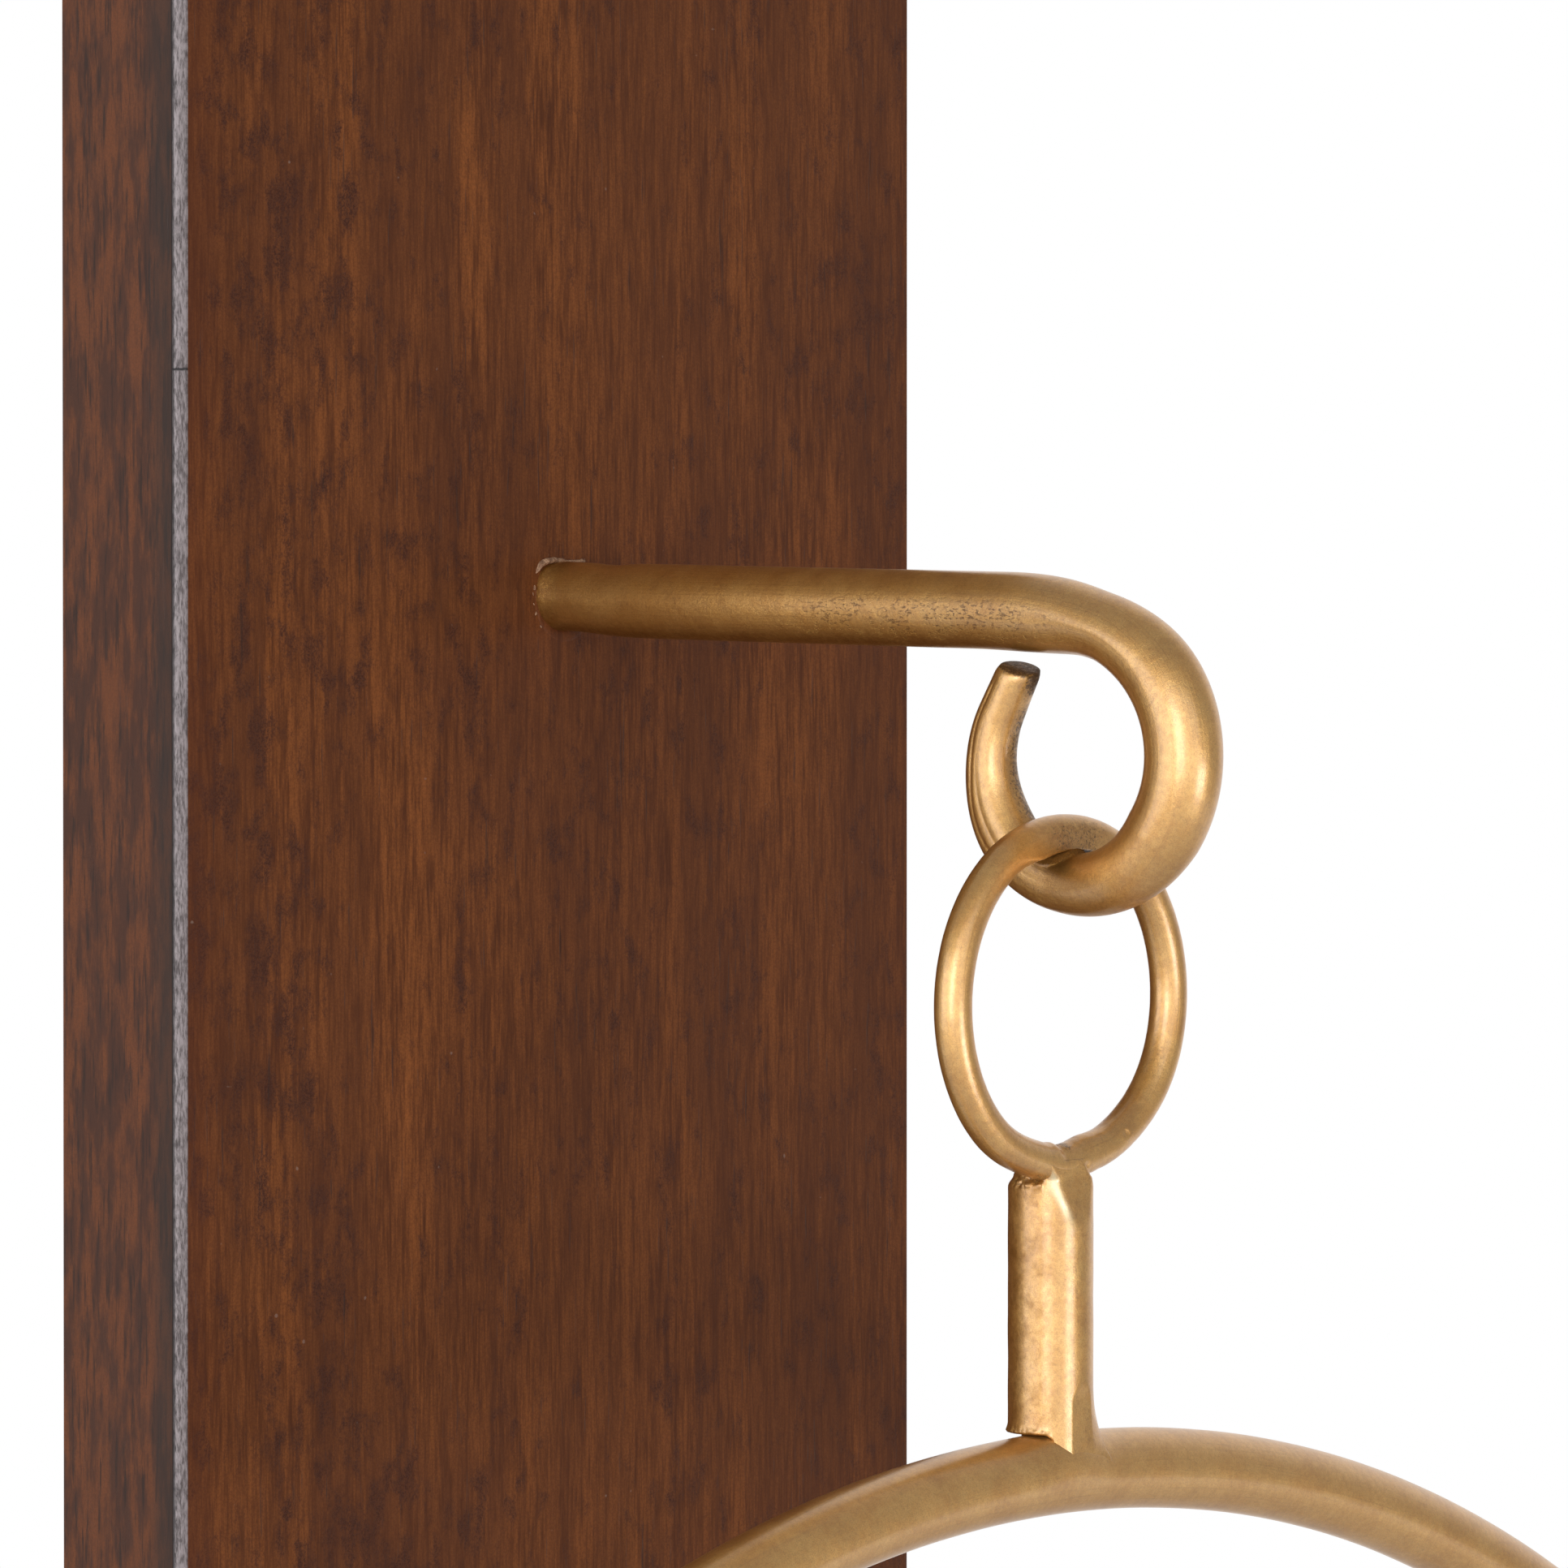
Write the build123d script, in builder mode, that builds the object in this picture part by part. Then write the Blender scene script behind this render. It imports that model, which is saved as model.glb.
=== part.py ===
from build123d import *
import os
from math import ceil, cos, radians, sin, tan

os.makedirs("parts", exist_ok=True)

# Frame: +Z up, -Y out from the wall into the room, millimetres.
# The origin is midway between the two keyhole entries, on the board's rear face.

# board
board_width = 139.7
board_length = 610.0
board_thickness = 21.0
board_top = 35.0  # the top edge, above the keyhole entries
board_arris = 1.2  # flat arris along the front edges

# hook: a round bar straight out of the board, rolled down into a loop and forged thin to the tip
hook_drop = 85.0  # the bar lies this far below the keyhole entries where it leaves the board
rod_diameter = 9.7
rod_droop = 0.9  # degrees below level
rod_reach = 75.5  # straight run in front of the board
lead_radius = 71.5  # to the bar's centre, as all bend radii here
lead_turn = 12.7  # degrees
loop_radius = 16.1
loop_turn = 177.3
curl_radius = 14.2
curl_turn = 106.9
tip_run = 6.0  # short straight end
thinning_turn = 112.0  # degrees into the loop where the bar starts to thin
waist_diameter = 7.2  # at the end of the loop, where the ring hangs
tip_diameter = 5.3
section_spacing = 4.0  # between the cross-sections of the thinning bar
rod_hole_clearance = 0.5  # radial, in the board

# hanger: small ring, stem and hoop, welded into one piece
ring_radius = 20.9  # to the wire's centre
ring_wire_diameter = 4.7
ring_rest_angle = 19.0  # degrees up the wall side of the curl where the ring rests
hang_clearance = 0.15
stem_diameter = 10.6
stem_length = 32.5
stem_setback = 1.9  # the stem's axis lies this far behind the ring's plane
stem_chamfer = 0.7
ring_seat_depth = 1.5  # the ring is let into the stem's top
hoop_seat_depth = 0.5  # the hoop is let into the stem's foot
hoop_radius = 215.0
hoop_bar_diameter = 10.1
ring_weld_foot = 5.4  # diameter on the stem's flat top
ring_weld_head = 4.6  # diameter around the ring's wire
ring_weld_cap = 0.8  # weld metal over the ring's wire
hoop_weld_diameter = 14.6
hoop_weld_rise = 4.0  # up the stem
hoop_weld_fall = 2.5  # down the hoop's flank

# steel plate that carries the hook, let into the board's rear face
plate_side = 50.0
plate_thickness = 3.0
plate_corner_radius = 4.0
plate_edge_clearance = 0.3
plate_recess_depth = 4.6
plate_screw_pitch = 36.0
weld_clearance = 0.05  # radial, around a bar that is welded in
rear_weld_width = 2.4

# keyhole hangers on the board's rear face
keyhole_inset = 29.85  # from the board's side edges, which sets the centres 80 apart
keyhole_plate_width = 16.0
keyhole_plate_height = 52.0
keyhole_plate_thickness = 1.5
keyhole_screw_pitch = 39.0
keyhole_entry_diameter = 9.5
keyhole_slot_width = 5.0
keyhole_slot_rise = 9.0
pocket_margin = 1.0
pocket_depth = 9.0

# countersunk wood screws
screw_diameter = 3.0
screw_head_diameter = 6.0
countersink_angle = 90.0
screw_length = 12.0
screw_point = 2.5
screw_clearance = 0.05
drive_span = 3.2
drive_width = 0.8
drive_depth = 0.9

# bumpers that keep the board off the wall
bumper_diameter = 10.0
bumper_thickness = 2.6
bumper_rounding = 0.8
bumper_inset = 12.0

# places that follow from the sizes above
rear_plane = Plane(origin=(0, 0, 0), x_dir=(-1, 0, 0), z_dir=(0, 1, 0))
plate_inner_plane = rear_plane.offset(-plate_recess_depth)
plate_outer_plane = plate_inner_plane.offset(plate_thickness)
board_middle = board_top - board_length / 2
screw_head_height = (screw_head_diameter - screw_diameter) / 2 / tan(radians(countersink_angle / 2))
rod_rear_run = board_thickness - (plate_recess_depth - plate_thickness)
droop = radians(rod_droop)
rod_rear_height = -hook_drop + rod_rear_run * tan(droop)
hook_plane = Plane(origin=(0, -board_thickness, -hook_drop), x_dir=(0, -1, 0), z_dir=(-1, 0, 0))
rod_axis_plane = Plane(origin=(0, -board_thickness, -hook_drop), z_dir=(0, -cos(droop), -sin(droop)))
keyhole_x = board_width / 2 - keyhole_inset
keyhole_places = [(keyhole_x, 0), (-keyhole_x, 0)]
keyhole_screw_places = []
for place_x, place_z in keyhole_places:
    keyhole_screw_places.append((place_x, place_z + keyhole_screw_pitch / 2))
    keyhole_screw_places.append((place_x, place_z - keyhole_screw_pitch / 2))
plate_screw_places = []
for side_x in (-plate_screw_pitch / 2, plate_screw_pitch / 2):
    for side_z in (-plate_screw_pitch / 2, plate_screw_pitch / 2):
        plate_screw_places.append((side_x, rod_rear_height + side_z))
bumper_x = board_width / 2 - bumper_inset
bumper_places = [
    (-bumper_x, board_top - bumper_inset),
    (bumper_x, board_top - bumper_inset),
    (-bumper_x, board_top - board_length + bumper_inset),
    (bumper_x, board_top - board_length + bumper_inset),
]


def save(builder, name):
    builder.part.label = name
    export_step(builder.part, "parts/" + name + ".step")


# the bar's centre line, from behind the plate to where it starts to thin
with BuildLine(hook_plane) as full_bar:
    rear_end = (-board_thickness * cos(droop), board_thickness * sin(droop))
    straight = Line(rear_end, (rod_reach * cos(droop), -rod_reach * sin(droop)))
    lead_bend = JernArc(straight @ 1, straight % 1, lead_radius, -lead_turn)
    loop_start = JernArc(lead_bend @ 1, lead_bend % 1, loop_radius, -thinning_turn)

# the rest of the centre line, where the bar gets thinner
with BuildLine(hook_plane) as thin_bar:
    loop_rest = JernArc(loop_start @ 1, loop_start % 1, loop_radius, thinning_turn - loop_turn)
    curl = JernArc(loop_rest @ 1, loop_rest % 1, curl_radius, -curl_turn)
    tip_line = Line(curl @ 1, (curl @ 1) + (curl % 1) * tip_run)


def section_plane(line, fraction):
    return Plane(origin=line @ fraction, x_dir=(1, 0, 0), z_dir=line % fraction)


def thin_width(length):
    """The bar's diameter at a length beyond its waist."""
    return waist_diameter + (tip_diameter - waist_diameter) * length / (curl.length + tip_run)


def sections_along(line, start_width, end_width):
    """Evenly spaced section planes along a line, with the bar's diameter at each."""
    count = ceil(line.length / section_spacing)
    sections = []
    for step in range(1, count + 1):
        width = start_width + (end_width - start_width) * step / count
        sections.append((section_plane(line, step / count), width))
    return sections


curl_end_width = thin_width(curl.length)
sections = [(section_plane(loop_rest, 0), rod_diameter)]
sections += sections_along(loop_rest, rod_diameter, waist_diameter)
sections += sections_along(curl, waist_diameter, curl_end_width)
sections += sections_along(tip_line, curl_end_width, tip_diameter)

with BuildPart() as hook_rod:
    with BuildSketch(section_plane(straight, 0)):
        Circle(rod_diameter / 2)
    sweep(path=full_bar.line)
    split(bisect_by=plate_outer_plane, keep=Keep.BOTTOM)
    for plane, width in sections:
        with BuildSketch(plane):
            Circle(width / 2)
    loft()
save(hook_rod, "hook_rod")

# the ring rests on the curl, a small clearance over the bar
rest = radians(ring_rest_angle)
curl_start_angle = rod_droop + lead_turn + loop_turn - 180  # past straight down
rest_bar_diameter = thin_width(curl_radius * radians(ring_rest_angle - curl_start_angle))
rest_distance = curl_radius - rest_bar_diameter / 2 - hang_clearance - ring_wire_diameter / 2
ring_y = curl.center_point.Y + rest_distance * sin(rest)
ring_z = curl.center_point.Z - rest_distance * cos(rest) - ring_radius
stem_y = ring_y + stem_setback
stem_top = ring_z - ring_radius - ring_wire_diameter / 2 + ring_seat_depth
stem_foot = stem_top - stem_length
hoop_z = stem_foot + hoop_seat_depth - hoop_bar_diameter / 2 - hoop_radius

with BuildPart() as hanger_ring:
    with Locations((0, ring_y, ring_z)):
        Torus(ring_radius, ring_wire_diameter / 2, rotation=(90, 0, 0))
save(hanger_ring, "hanger_ring")

with BuildPart() as hoop:
    with Locations((0, stem_y, hoop_z)):
        Torus(hoop_radius, hoop_bar_diameter / 2, rotation=(90, 0, 0))
save(hoop, "hoop")

with BuildPart() as hanger_stem:
    with BuildSketch(Plane.XY.offset(stem_foot)):
        with Locations((0, stem_y)):
            Circle(stem_diameter / 2)
    extrude(amount=stem_length)
    chamfer(hanger_stem.edges().group_by(Axis.Z)[-1], stem_chamfer)
    add(hanger_ring.part, mode=Mode.SUBTRACT)
    add(hoop.part, mode=Mode.SUBTRACT)
save(hanger_stem, "hanger_stem")

with BuildPart() as ring_weld:
    weld_height = ring_wire_diameter - ring_seat_depth + ring_weld_cap
    with BuildSketch(Plane.XY.offset(stem_top)):
        with Locations((0, ring_y)):
            Circle(ring_weld_foot / 2)
    with BuildSketch(Plane.XY.offset(stem_top + weld_height)):
        with Locations((0, ring_y)):
            Circle(ring_weld_head / 2)
    loft()
    add(hanger_ring.part, mode=Mode.SUBTRACT)
save(ring_weld, "ring_weld")

with BuildPart() as hoop_weld:
    with BuildSketch(Plane.XY.offset(stem_foot - hoop_weld_fall)):
        with Locations((0, stem_y)):
            Circle(hoop_weld_diameter / 2)
    with BuildSketch(Plane.XY.offset(stem_foot + hoop_weld_rise)):
        with Locations((0, stem_y)):
            Circle(stem_diameter / 2 + weld_clearance)
    loft()
    with BuildSketch(Plane.XY.offset(stem_foot)):
        with Locations((0, stem_y)):
            Circle(stem_diameter / 2)
    extrude(amount=hoop_weld_rise, mode=Mode.SUBTRACT)
    add(hoop.part, mode=Mode.SUBTRACT)
    add(hanger_stem.part, mode=Mode.SUBTRACT)
    # the weld is laid from the room side only
    split(bisect_by=Plane(origin=(0, stem_y, 0), z_dir=(0, -1, 0)), keep=Keep.TOP)
save(hoop_weld, "hoop_weld")

with BuildPart() as hook_back_plate:
    with BuildSketch(plate_inner_plane):
        with Locations((0, rod_rear_height)):
            RectangleRounded(plate_side, plate_side, plate_corner_radius)
    extrude(amount=plate_thickness)
    with BuildSketch(rod_axis_plane):
        Circle(rod_diameter / 2 + weld_clearance)
    extrude(amount=-board_thickness, mode=Mode.SUBTRACT)
    with Locations(plate_outer_plane):
        with Locations(plate_screw_places):
            CounterSinkHole(
                screw_diameter / 2 + screw_clearance,
                screw_head_diameter / 2 + screw_clearance,
                counter_sink_angle=countersink_angle,
            )
save(hook_back_plate, "hook_back_plate")

with BuildPart() as back_plate_weld:
    weld_radius = rear_weld_width / 2
    weld_centre = plate_outer_plane.from_local_coords((0, rod_rear_height))
    with BuildSketch(Plane(origin=weld_centre, x_dir=(1, 0, 0), z_dir=(0, 0, 1))):
        with Locations((rod_diameter / 2, 0)):
            Circle(weld_radius)
        with Locations((rod_diameter / 2, -weld_radius)):
            Rectangle(rear_weld_width, rear_weld_width, mode=Mode.SUBTRACT)
    revolve(axis=Axis(weld_centre, (0, 1, 0)))
save(back_plate_weld, "back_plate_weld")

with BuildPart() as keyhole_plate:
    with BuildSketch():
        SlotOverall(keyhole_plate_height, keyhole_plate_width, rotation=90)
        Circle(keyhole_entry_diameter / 2, mode=Mode.SUBTRACT)
        with Locations((0, keyhole_slot_rise / 2)):
            SlotCenterToCenter(keyhole_slot_rise, keyhole_slot_width, rotation=90, mode=Mode.SUBTRACT)
    extrude(amount=keyhole_plate_thickness)
    with Locations((0, 0, keyhole_plate_thickness)):
        with GridLocations(0, keyhole_screw_pitch, 1, 2):
            CounterSinkHole(
                screw_diameter / 2 + screw_clearance,
                screw_head_diameter / 2 + screw_clearance,
                counter_sink_angle=countersink_angle,
            )

for side, place in zip(("left", "right"), keyhole_places):
    with BuildPart(rear_plane) as placed_plate:
        with Locations(place):
            add(keyhole_plate.part)
    save(placed_plate, "keyhole_plate_" + side)

# one wood screw, head up, its flat face at height zero
with BuildPart() as wood_screw:
    with BuildSketch(Plane.XZ):
        with BuildLine():
            Polyline(
                (0, 0),
                (screw_head_diameter / 2, 0),
                (screw_diameter / 2, -screw_head_height),
                (screw_diameter / 2, screw_point - screw_length),
                (0, -screw_length),
                close=True,
            )
        make_face()
    revolve(axis=Axis.Z)
    with BuildSketch():
        Rectangle(drive_span, drive_width)
        Rectangle(drive_width, drive_span)
    extrude(amount=-drive_depth, mode=Mode.SUBTRACT)

with BuildPart(plate_outer_plane) as back_plate_screws:
    with Locations(plate_screw_places):
        add(wood_screw.part)
save(back_plate_screws, "back_plate_screws")

with BuildPart(rear_plane.offset(keyhole_plate_thickness)) as keyhole_screws:
    with Locations(keyhole_screw_places):
        add(wood_screw.part)
save(keyhole_screws, "keyhole_screws")

for number, place in enumerate(bumper_places, start=1):
    with BuildPart(rear_plane) as wall_bumper:
        with Locations(place):
            Cylinder(bumper_diameter / 2, bumper_thickness, align=(Align.CENTER, Align.CENTER, Align.MIN))
        fillet(wall_bumper.edges().group_by(Axis.Y)[-1], bumper_rounding)
    save(wall_bumper, "wall_bumper_" + str(number))

with BuildPart() as backboard:
    with BuildSketch(rear_plane):
        with Locations((0, board_middle)):
            Rectangle(board_width, board_length)
    extrude(amount=-board_thickness)
    chamfer(backboard.faces().sort_by(Axis.Y)[0].edges(), board_arris)
    # recess for the hook's plate
    with BuildSketch(rear_plane):
        with Locations((0, rod_rear_height)):
            recess_side = plate_side + 2 * plate_edge_clearance
            RectangleRounded(recess_side, recess_side, plate_corner_radius + plate_edge_clearance)
    extrude(amount=-plate_recess_depth, mode=Mode.SUBTRACT)
    # bore for the hook's bar
    with BuildSketch(rod_axis_plane):
        Circle(rod_diameter / 2 + rod_hole_clearance)
    extrude(amount=board_thickness, both=True, mode=Mode.SUBTRACT)
    # pockets for the heads of the wall screws
    with BuildSketch(rear_plane):
        with Locations(keyhole_places):
            with Locations((0, keyhole_slot_rise / 2)):
                pocket_width = keyhole_entry_diameter + 2 * pocket_margin
                SlotCenterToCenter(keyhole_slot_rise, pocket_width, rotation=90)
    extrude(amount=-pocket_depth, mode=Mode.SUBTRACT)
    # pilot holes for the wood screws
    pilot_radius = screw_diameter / 2 + screw_clearance
    with BuildSketch(rear_plane):
        with Locations(keyhole_screw_places):
            Circle(pilot_radius)
    extrude(amount=keyhole_plate_thickness - screw_length, mode=Mode.SUBTRACT)
    with BuildSketch(plate_inner_plane):
        with Locations(plate_screw_places):
            Circle(pilot_radius)
    extrude(amount=plate_thickness - screw_length, mode=Mode.SUBTRACT)
save(backboard, "backboard")
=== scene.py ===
import bmesh
import bpy
from math import atan2, ceil, cos, degrees, exp, hypot, log, pi, radians, sin, tan
from mathutils import Matrix, Vector, noise


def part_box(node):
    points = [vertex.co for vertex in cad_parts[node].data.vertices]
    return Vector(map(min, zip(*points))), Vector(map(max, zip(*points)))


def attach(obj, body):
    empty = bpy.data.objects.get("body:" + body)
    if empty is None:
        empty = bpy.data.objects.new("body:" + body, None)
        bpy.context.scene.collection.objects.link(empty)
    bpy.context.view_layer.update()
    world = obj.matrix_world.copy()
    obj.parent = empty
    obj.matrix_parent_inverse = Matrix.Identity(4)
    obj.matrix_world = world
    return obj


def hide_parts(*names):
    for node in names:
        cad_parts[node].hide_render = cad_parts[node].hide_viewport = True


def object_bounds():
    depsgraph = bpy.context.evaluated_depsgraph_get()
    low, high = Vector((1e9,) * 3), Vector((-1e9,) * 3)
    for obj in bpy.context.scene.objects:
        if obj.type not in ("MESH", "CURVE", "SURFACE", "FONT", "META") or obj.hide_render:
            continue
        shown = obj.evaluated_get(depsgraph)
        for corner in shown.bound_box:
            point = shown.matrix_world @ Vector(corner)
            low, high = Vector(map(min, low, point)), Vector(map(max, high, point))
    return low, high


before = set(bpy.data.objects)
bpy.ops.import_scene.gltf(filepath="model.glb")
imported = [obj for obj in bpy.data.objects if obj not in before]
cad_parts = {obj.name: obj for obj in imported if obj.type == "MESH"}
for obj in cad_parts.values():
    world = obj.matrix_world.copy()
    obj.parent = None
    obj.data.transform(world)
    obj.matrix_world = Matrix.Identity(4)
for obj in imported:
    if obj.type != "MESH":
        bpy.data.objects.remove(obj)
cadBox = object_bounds()
noise.seed_set(7)  # so that torn wood and filler come out the same each run
print("frame loaded")


# a node's output; sums and products of wires add math nodes to their finish
class Wire:
    def __init__(self, finish, socket):
        self.finish = finish
        self.socket = socket

    def __add__(self, other):
        return self.finish.maths("ADD", self, other)

    def __radd__(self, other):
        return self.finish.maths("ADD", other, self)

    def __sub__(self, other):
        return self.finish.maths("SUBTRACT", self, other)

    def __rsub__(self, other):
        return self.finish.maths("SUBTRACT", other, self)

    def __mul__(self, other):
        return self.finish.maths("MULTIPLY", self, other)

    def __rmul__(self, other):
        return self.finish.maths("MULTIPLY", other, self)


# a material and the nodes in it
class Finish:
    def __init__(self, name, **sockets):
        self.material = bpy.data.materials.new(name)
        self.material.use_nodes = True
        self.tree = self.material.node_tree
        self.shader = self.tree.nodes["Principled BSDF"]
        for socket, value in sockets.items():
            self.shader.inputs[socket.replace("_", " ")].default_value = value
        self.place = self.node("TexCoord", {}, {}, "Object")

    def node(self, kind, settings, inputs, output=0):
        made = self.tree.nodes.new("ShaderNode" + kind)
        for name, value in settings.items():
            setattr(made, name, value)
        for name, value in inputs.items():
            if isinstance(value, Wire):
                self.tree.links.new(value.socket, made.inputs[name])
            else:
                made.inputs[name].default_value = value
        return Wire(self, made.outputs[output])

    def maths(self, operation, *values):
        return self.node("Math", {"operation": operation}, dict(enumerate(values)))

    def size(self, value):
        return self.maths("ABSOLUTE", value)

    def blend(self, factor, first, second):
        first, second = [c if isinstance(c, Wire) else (*c, 1) for c in (first, second)]
        return self.node("Mix", {"data_type": "RGBA"}, {0: factor, 6: first, 7: second}, 2)

    def stretch(self, place, scale, turn=(0, 0, 0)):
        return self.node("Mapping", {}, {"Vector": place, "Rotation": turn, "Scale": scale})

    def grain(self, place, scale, detail=3.0, roughness=0.55):
        inputs = {"Vector": place, "Scale": scale, "Detail": detail, "Roughness": roughness}
        return self.node("TexNoise", {}, inputs)

    def between(self, value, low, high, first=0.0, last=1.0):
        inputs = {"Value": value, "From Min": low, "From Max": high, "To Min": first, "To Max": last}
        return self.node("MapRange", {"interpolation_type": "SMOOTHSTEP"}, inputs)

    def line(self, away, core, edge):
        # 1 along the line that a wire is measured from, 0 beyond its soft edge
        return 1 - self.between(self.size(away), core, edge)

    def attribute(self, name, output="Fac"):
        return self.node("Attribute", {"attribute_name": name}, {}, output)

    def feed(self, **wires):
        for socket, wire in wires.items():
            self.tree.links.new(wire.socket, self.shader.inputs[socket.replace("_", " ")])

    def relief(self, height, depth):
        self.feed(Normal=self.node("Bump", {}, {"Height": height, "Distance": depth, "Strength": 1.0}))


goldColours = {
    "light": (0.75, 0.43, 0.121),
    "mid": (0.59, 0.29, 0.060),
    "bareAndHighlight": (0.96, 0.81, 0.51),
    "brown": (0.33, 0.14, 0.027),
    "rustAndShade": (0.24, 0.098, 0.016),
    "crust": (0.20, 0.10, 0.040),
    "soot": (0.045, 0.020, 0.009),
    "tint": (0.85, 0.60, 0.35, 1),
}
# waves to a metre, octaves and roughness of each pattern in the paint
goldGrains = {
    "drift": (150.0, 4.0, 0.55), "aged": (240.0, 5.0, 0.68), "patches": (260.0, 3.0, 0.55),
    "clumps": (330.0, 2.0, 0.55), "mottle": (1100.0, 4.0, 0.65), "smears": (1300.0, 4.0, 0.75),
    "dapple": (1700.0, 4.0, 0.70), "speck": (3000.0, 4.0, 0.75), "crumbs": (4200.0, 4.0, 0.75),
    "fleck": (6500.0, 2.0, 0.75),
}
goldSizes = {"pitWaves": (2300, 1000, 2600), "barWaves": (2600, 2600, 45), "metal": 0.82, "relief": 0.00005}


def goldPaint(name, stains, haze, barLines=False):
    gold = Finish(name, Metallic=goldSizes["metal"], Roughness=0.4, Specular_IOR_Level=0.5, Coat_Weight=1.0,
                  Coat_Roughness=haze, Coat_IOR=1.85, Specular_Tint=goldColours["tint"])
    grain = {kind: gold.grain(gold.place, *waves) for kind, waves in goldGrains.items()}
    soot, scuff, bareAndHighlight, shade = [gold.attribute(layer) for layer in ("soot", "scuff", "bareAndHighlight", "shade")]
    drift = gold.between(grain["drift"], 0.35, 0.68)
    mottle = gold.between(grain["mottle"], 0.3, 0.7)
    fleck, crumbs = grain["fleck"], grain["crumbs"]
    # the paint itself, cloudy and flecked
    colour = gold.blend(drift * 0.5 + mottle * 0.5, goldColours["light"], goldColours["mid"])
    colour = gold.blend(gold.between(fleck, 0.42, 0.7) * 0.45, colour, goldColours["brown"])
    aged = gold.between(grain["aged"], 0.48, 0.68)
    dapple = gold.between(grain["dapple"], 0.50, 0.66)
    colour = gold.blend((aged * 0.55 + dapple * 0.5) * stains, colour, goldColours["brown"])
    # soot, specks, pits, painted brown shade with rust, and bare metal painted light as a highlight lie over
    # it
    speck = gold.between(grain["speck"] + soot * 0.5, 0.70, 0.86)
    pits = gold.grain(gold.stretch(gold.place, goldSizes["pitWaves"]), 1.0, 4.0, 0.7)
    pits = gold.between(pits, 0.53, 0.63) * scuff * gold.between(grain["clumps"], 0.33, 0.52)
    stain = gold.between(soot + (grain["smears"] - 0.5) * 0.9, 0.2, 0.85)
    grime = gold.blend(gold.between(crumbs, 0.42, 0.62), goldColours["soot"], goldColours["crust"])
    colour = gold.blend(stain * 0.8, colour, grime)
    colour = gold.blend(speck * 0.8, colour, goldColours["soot"])
    colour = gold.blend(pits * 0.75, colour, goldColours["crust"])
    # the shade layer: painted shade under the hook's bar, and rust with painted shade down the stem's left
    # side
    shading = shade * gold.between(crumbs + mottle * 0.3, 0.3, 0.85, 0.55, 1.0)
    colour = gold.blend(shading, colour, goldColours["rustAndShade"])
    # bare metal painted light along the stem's ridge, which also stands in for its highlight
    colour = gold.blend(bareAndHighlight, colour, goldColours["bareAndHighlight"])
    height = fleck * 0.6 + mottle * 0.35 - speck * 0.8 - pits * 1.6 + crumbs * stain * 2.0
    rough = gold.between(grain["patches"] + mottle * 0.3, 0.4, 0.95, 0.35, 0.46)
    rough = rough + speck * 0.2 + stain * 0.35 + pits * 0.15
    if barLines:
        bar = gold.stretch(gold.attribute("straight", "Vector"), goldSizes["barWaves"])
        lines = gold.grain(bar, 1.0, 3.0, 0.6)
        height = height + lines * 0.7
        colour = gold.blend(gold.between(lines, 0.55, 0.75) * 0.25, colour, goldColours["brown"])
    coat = 1 - stain * 0.9 - shade * 0.75 - pits * 0.6
    gold.feed(Base_Color=colour, Roughness=rough, Coat_Weight=coat, Metallic=goldSizes["metal"] - stain * 0.6)
    gold.relief(height, goldSizes["relief"])
    return gold.material


boardLow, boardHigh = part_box("backboard")
woodColours = {
    "dark": (0.080, 0.0235, 0.0078), "light": (0.252, 0.079, 0.0200),
    "band": (0.095, 0.030, 0.011), "cloud": (0.075, 0.024, 0.011), "flame": (0.23, 0.072, 0.017),
    "blotch": (0.047, 0.014, 0.0075), "dot": (0.07, 0.020, 0.008), "pore": (0.028, 0.013, 0.009),
    "right": (0.094, 0.034, 0.018), "left": (0.080, 0.020, 0.009), "dust": (0.42, 0.34, 0.30),
    "sideCool": (0.078, 0.036, 0.025), "sideWarm": (0.160, 0.057, 0.027), "sideDot": (0.06, 0.030, 0.022),
    "sideStreak": (0.036, 0.025, 0.022), "sideFront": (0.040, 0.032, 0.029),
    "arrisDark": (0.080, 0.068, 0.068), "arrisPaleAndHighlight": (0.37, 0.325, 0.332),
    "arrisFront": (0.115, 0.088, 0.088), "nick": (0.03, 0.026, 0.027), "seam": (0.016, 0.014, 0.015),
}
# waves to a metre across, inwards and upwards, octaves and roughness of each pattern in the wood
woodGrains = {
    "fine": ((2300, 2300, 200), 4.0, 0.62), "fibre": ((700, 700, 60), 4.0, 0.60),
    "broad": ((120, 120, 9), 3.0, 0.55), "cloud": ((40, 40, 15), 3.0, 0.55),
    "blotch": ((280, 280, 160), 5.0, 0.68), "flame": ((1300, 1300, 85), 3.0, 0.55),
    "pore": ((1500, 1500, 90), 2.0, 0.55), "streak": ((1500, 1500, 120), 4.0, 0.65),
    "warm": ((420, 420, 100), 4.0, 0.66), "worn": ((500, 500, 160), 4.0, 0.60),
}
# places are metres from the board's middle line, its front or the frame's zero height
woodSizes = {
    "front": boardLow[1], "half": boardHigh[0], "arris": 0.0012,
    "rightShade": (-0.025, 0.07), "leftShade": (-0.0600, -0.0685),
    "strip": 0.050, "stripFade": (0.022, 0.008),
    "bandFade": (0.0045, 0.0085), "bandWander": 0.004,
    "seamFade": (0.00006, 0.00026),
    "crackDrop": 0.0560, "crackWander": 0.0004, "crackFade": (0.00005, 0.00026),
    "nickDrop": 0.0022, "nickWander": 0.003, "nickFade": (0.0008, 0.0016),
    "rubbedHighlightHeight": (-0.25, 0.035), "rubbedHighlightWidth": 0.00028, "rubbedHighlightWander": 0.00012, "rubbedHighlightSoft": 0.00012,
    "napTurn": (0.9, 0.0, 0.0), "napWaves": (900, 5200, 750), "dustWaves": 820.0, "stippleWaves": 3600.0,
    "relief": 0.00006,
}


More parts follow.
